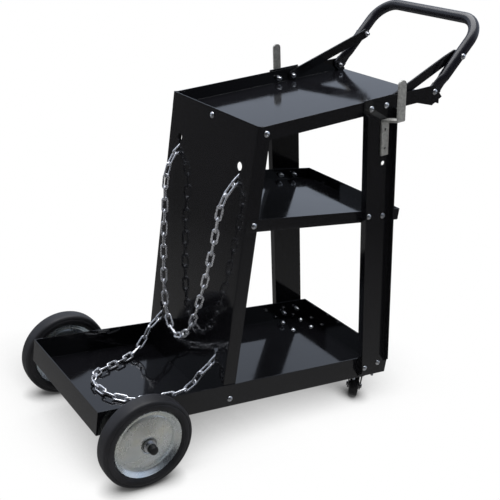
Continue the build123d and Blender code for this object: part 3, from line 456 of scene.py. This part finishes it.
def islands(node):
    """The separate solids of a CAD node, each as a list of points."""
    bm = bmesh.new()
    bm.from_mesh(NODES[node].data)
    bmesh.ops.remove_doubles(bm, verts=bm.verts, dist=WELD)
    waiting = set(bm.verts)
    result = []
    for start in list(bm.verts):
        if start not in waiting:
            continue
        waiting.discard(start)
        queue, found = [start], []
        while queue:
            vert = queue.pop()
            found.append(vert.co.copy())
            for edge in vert.link_edges:
                other = edge.other_vert(vert)
                if other in waiting:
                    waiting.discard(other)
                    queue.append(other)
        result.append(found)
    bm.free()
    return result


ACROSS = Vector((0, 1, 0))
DECK_UP = joint_axis("caster_left_swivel").normalized()
DECK_LONG = ACROSS.cross(DECK_UP).normalized()


def axis_of(points):
    """Which of the cart's three ways a fastener points along."""
    def reach(way):
        spread = [point.dot(way) for point in points]
        return max(spread) - min(spread)
    return max((ACROSS, DECK_UP, DECK_LONG), key=reach)


def lie_of(points):
    """The line a fastener lies on: its middle, its way towards the head, and its two ends along that way."""
    way = axis_of(points)
    along = [point.dot(way) for point in points]
    low, high = min(along), max(along)
    flat = [point - way * place for point, place in zip(points, along)]
    middle = Vector([(min(p[i] for p in flat) + max(p[i] for p in flat)) / 2 for i in range(3)])
    middle -= way * middle.dot(way)

    def width_near(end):
        return max((spot - middle).length for spot, place in zip(flat, along) if abs(place - end) < 3 * MM)

    if width_near(low) > width_near(high):
        return middle, -way, -high, -low
    return middle, way, low, high


THREAD_PITCH = 1.0
THREAD_DEPTH = 0.25
PLAIN_SHANK = 4.0             # unthreaded length under the head
RECESS_RADIUS = 2.1
DOME_STEPS = 9


def threaded_profile(head_radius, head_height, shank_radius, length):
    """Half section of a domed machine screw: drive recess, dome, seat, then the thread's turns as rings."""
    angles = [math.radians(8 + 82 * step / DOME_STEPS) for step in range(DOME_STEPS)]
    dome = [(head_height * math.sin(angle), head_radius * math.cos(angle)) for angle in angles]
    dome = [(rise, radius) for rise, radius in dome if radius > RECESS_RADIUS + 0.2]
    recess = [(head_height - 1.3, 0), (head_height - 0.5, RECESS_RADIUS - 0.4)]
    recess += [(head_height - 0.02, RECESS_RADIUS)]
    profile = recess + dome[::-1] + [(0.35, head_radius), (0.0, head_radius - 0.2), (0.0, shank_radius)]
    root = shank_radius - THREAD_DEPTH
    at = min(PLAIN_SHANK, length * 0.4)
    while at < length - THREAD_PITCH:
        profile += [(-at, shank_radius), (-at - THREAD_PITCH * 0.4, root), (-at - THREAD_PITCH * 0.6, root)]
        at += THREAD_PITCH
    return profile + [(-length + 0.4, shank_radius), (-length, shank_radius - 0.4), (-length, 0)]


def fasteners(node, head_diameter, head_height, shank):
    """Threaded screws in the places of a node's plain ones."""
    bm = bmesh.new()
    for points in islands(node):
        middle, way, low, high = lie_of(points)
        seat = middle + way * (high - head_height * MM)
        length = (high - low) / MM - head_height
        lathe(bm, threaded_profile(head_diameter / 2, head_height, shank / 2, length), seat, way, 28)
    name = f"{node}_threaded"
    finished_piece(name, close_mesh(name, bm), BOLT_ZINC, "cart", node)


for node in ("leg_bolts", "panel_bolts", "handle_bolts", "brace_bolts", "caster_bolts"):
    fasteners(node, 12.0, 3.6, 6.0)
fasteners("hook_screws", 9.0, 2.6, 5.0)


# ---------------------------------------------------------------- stage, light and camera
FLOOR_REACH = 30.0
TOUCH_REACH = 0.04            # shade where a wheel meets the floor
SHELTER_REACH = 0.3           # shade where the cart stands between the floor and the camera's side


def reflected_paper(s):
    """The floor in reflections: a painted pool of light, an emission brightest near the cart, and falling off
    sooner along it than across it.
    """
    distance = s.add("ShaderNodeVectorMath", operation="LENGTH")
    s.link(s.stretched(1.5, 1, 1), distance, 0)
    glow = s.add("ShaderNodeEmission")
    s.link(s.spread(distance.outputs["Value"], 0.3, 0.09, 0.35, 1.9), glow, "Strength")
    return glow.outputs["Emission"]


def seen_paper(s, lit_way):
    """The floor to the camera: a white emission, with soft painted shade under and behind what stands on it."""
    touching = s.add("ShaderNodeAmbientOcclusion", samples=16)
    touching.inputs["Distance"].default_value = TOUCH_REACH
    sheltered = s.add("ShaderNodeAmbientOcclusion", samples=24)
    sheltered.inputs["Distance"].default_value = SHELTER_REACH
    lit_from = s.add("ShaderNodeCombineXYZ")
    for socket, value in enumerate(lit_way):
        lit_from.inputs[socket].default_value = value
    s.link(lit_from.outputs["Vector"], sheltered, "Normal")
    # Painted shade: the emission is dimmed by ambient occlusion near the wheels and where the cart shelters the
    # floor from the camera's side; no lamp casts it.
    shade = s.add("ShaderNodeMath", operation="MULTIPLY")
    s.link(s.spread(touching.outputs["AO"], 0.12, 1.0, 0.35, 0.92), shade, 0)
    s.link(s.spread(sheltered.outputs["AO"], 0.07, 1.0, 0.4, 0.93), shade, 1)
    seen = s.add("ShaderNodeEmission")
    s.link(shade.outputs["Value"], seen, "Strength")
    return seen.outputs["Emission"]


def stage_floor(lit_way):
    """A plain pale floor, like white paper to the camera, in reflections and as bounced light."""
    mesh = bpy.data.meshes.new("floor")
    far = FLOOR_REACH
    mesh.from_pydata([(-far, -far, 0), (far, -far, 0), (far, far, 0), (-far, far, 0)], [], [(0, 1, 2, 3)])
    floor = bpy.data.objects.new("floor", mesh)
    bpy.context.scene.collection.objects.link(floor)
    s = Shader("floor", None)
    paper = s.add("ShaderNodeBsdfDiffuse")
    paper.inputs["Color"].default_value = (0.93, 0.93, 0.93, 1)
    light_path = s.add("ShaderNodeLightPath")
    bounced = s.add("ShaderNodeMixShader")
    s.link(light_path.outputs["Is Glossy Ray"], bounced, 0)
    s.link(paper.outputs["BSDF"], bounced, 1)
    s.link(reflected_paper(s), bounced, 2)
    mix = s.add("ShaderNodeMixShader")
    s.link(light_path.outputs["Is Camera Ray"], mix, 0)
    s.link(bounced.outputs["Shader"], mix, 1)
    s.link(seen_paper(s, lit_way), mix, 2)
    s.link(mix.outputs["Shader"], s.tree.nodes["Material Output"], "Surface")
    mesh.materials.append(s.material)


WORLD_WHITE = (1.0, 1.0, 1.0, 1)
WORLD_IN_REFLECTIONS = (0.6, 0.67, 0.8, 1)


def studio_world(back_way):
    """White to the camera.  In reflections and as light: pale behind and above the cart, dark in front."""
    world = bpy.data.worlds.new("studio")
    bpy.context.scene.world = world
    world.use_nodes = True
    nodes, links = world.node_tree.nodes, world.node_tree.links
    place = nodes.new("ShaderNodeTexCoord")
    toward = nodes.new("ShaderNodeVectorMath")
    toward.operation = "DOT_PRODUCT"
    toward.inputs[1].default_value = back_way
    links.new(place.outputs["Generated"], toward.inputs[0])
    level = nodes.new("ShaderNodeMapRange")
    level.interpolation_type = "SMOOTHSTEP"
    for key, number in {"From Min": -0.55, "From Max": 0.35, "To Min": 0.02, "To Max": 1.0}.items():
        level.inputs[key].default_value = number
    links.new(toward.outputs["Value"], level.inputs["Value"])
    light_path = nodes.new("ShaderNodeLightPath")
    strength = nodes.new("ShaderNodeMix")
    links.new(light_path.outputs["Is Camera Ray"], strength.inputs[0])
    links.new(level.outputs["Result"], strength.inputs[2])
    strength.inputs[3].default_value = 1.0
    tint = nodes.new("ShaderNodeMix")
    tint.data_type = "RGBA"
    links.new(light_path.outputs["Is Glossy Ray"], tint.inputs[0])
    tint.inputs[6].default_value = WORLD_WHITE
    tint.inputs[7].default_value = WORLD_IN_REFLECTIONS
    links.new(strength.outputs[0], nodes["Background"].inputs["Strength"])
    links.new(tint.outputs[2], nodes["Background"].inputs["Color"])


def softbox(name, place, aim, size, power):
    """A square-cornered soft light at a place, turned to a point."""
    light = bpy.data.lights.new(name, "AREA")
    light.shape = "RECTANGLE"
    light.size, light.size_y = size
    light.energy = power
    lamp = bpy.data.objects.new(name, light)
    bpy.context.scene.collection.objects.link(lamp)
    lamp.location = place
    lamp.rotation_euler = (Vector(aim) - Vector(place)).to_track_quat("-Z", "Y").to_euler()


CAMERA_PLACE = Vector((-0.9767, -1.3317, 0.9666))
CAMERA_AZIMUTH = math.radians(-36.21)
CAMERA_ELEVATION = math.radians(20.58)
CAMERA_ROLL = math.radians(6.26)
CAMERA_LENS = 62.18           # mm, on a 36 mm wide sensor


def add_camera():
    """The camera, tipped by its roll.  The way back from it to the viewer is returned."""
    camera = bpy.data.objects.new("camera", bpy.data.cameras.new("camera"))
    bpy.context.scene.collection.objects.link(camera)
    camera.data.lens = CAMERA_LENS
    camera.data.sensor_width = 36.0
    camera.data.clip_start = 0.05
    camera.data.clip_end = 100.0
    flat, rise = math.cos(CAMERA_ELEVATION), math.sin(CAMERA_ELEVATION)
    back = Vector((math.sin(CAMERA_AZIMUTH) * flat, -math.cos(CAMERA_AZIMUTH) * flat, rise))
    right = (-back).cross(Vector((0, 0, 1))).normalized()
    up = back.cross(right)
    rolled = right * math.cos(CAMERA_ROLL) + up * math.sin(CAMERA_ROLL)
    rolled_up = up * math.cos(CAMERA_ROLL) - right * math.sin(CAMERA_ROLL)
    turn = Matrix((rolled, rolled_up, back)).transposed().to_4x4()
    camera.matrix_world = Matrix.Translation(CAMERA_PLACE) @ turn
    bpy.context.scene.camera = camera
    return back


camera_back = add_camera()
stage_floor(camera_back)
studio_world(Vector((-camera_back.x, -camera_back.y, 0.45)).normalized())
softbox("overhead", (0.2, 0.6, 3.2), (0, 0, 0.3), (3.0, 3.0), 110.0)
bpy.context.scene.view_settings.view_transform = "Standard"
